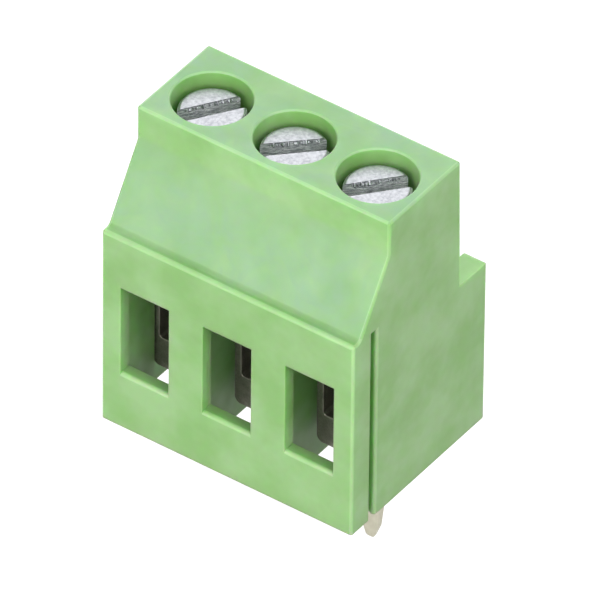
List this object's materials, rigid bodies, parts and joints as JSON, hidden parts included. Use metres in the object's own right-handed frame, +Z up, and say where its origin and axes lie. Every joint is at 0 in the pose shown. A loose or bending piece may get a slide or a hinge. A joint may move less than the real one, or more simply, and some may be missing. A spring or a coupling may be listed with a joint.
{
  "type": "pcb screw terminal block",
  "caption": "Board-mounted screw terminal block with square wire entries in front, slotted screws in round wells on top, rising clamp cages and flat solder pins.",
  "frame": {"origin": "where the middle solder pin's axis crosses the board plane, which is the housing's underside", "axes": "+X along the row of poles to the right as seen by the wires, +Y to the back, +Z up out of the board; wires enter along +Y from the front"},
  "size_m": [0.0154, 0.0117, 0.0234],
  "materials": {
    "housing_green": "satin moulded",
    "screw_zinc": "zinc plated",
    "cage_nickel": "nickel plated",
    "contact_tin": "tin plated"
  },
  "bodies": {
    "block": {"housing": "housing_green", "contact_1": "contact_tin", "contact_2": "contact_tin", "contact_3": "contact_tin"},
    "screw_1": {"clamp_screw_1": "screw_zinc"},
    "cage_1": {"clamp_cage_1": "cage_nickel"},
    "screw_2": {"clamp_screw_2": "screw_zinc"},
    "cage_2": {"clamp_cage_2": "cage_nickel"},
    "screw_3": {"clamp_screw_3": "screw_zinc"},
    "cage_3": {"clamp_cage_3": "cage_nickel"}
  },
  "joints": [
    {"name": "screw_turn_1", "type": "hinge", "parent": "block", "child": "screw_1", "pos_m": [-0.00508, 0, 0.0169], "axis": [0, 0, -1], "range_deg": [0, 2952]},
    {"name": "cage_rise_1", "type": "slide", "parent": "block", "child": "cage_1", "axis": [0, 0, 1], "range_m": [0, 0.0041]},
    {"name": "screw_turn_2", "type": "hinge", "parent": "block", "child": "screw_2", "pos_m": [0, 0, 0.0169], "axis": [0, 0, -1], "range_deg": [0, 2952]},
    {"name": "cage_rise_2", "type": "slide", "parent": "block", "child": "cage_2", "axis": [0, 0, 1], "range_m": [0, 0.0041]},
    {"name": "screw_turn_3", "type": "hinge", "parent": "block", "child": "screw_3", "pos_m": [0.00508, 0, 0.0169], "axis": [0, 0, -1], "range_deg": [0, 2952]},
    {"name": "cage_rise_3", "type": "slide", "parent": "block", "child": "cage_3", "axis": [0, 0, 1], "range_m": [0, 0.0041]}
  ],
  "couplings": [
    {"joint": "screw_turn_1", "follows": "cage_rise_1", "rad_per_m": 12566},
    {"joint": "screw_turn_2", "follows": "cage_rise_2", "rad_per_m": 12566},
    {"joint": "screw_turn_3", "follows": "cage_rise_3", "rad_per_m": 12566}
  ]
}
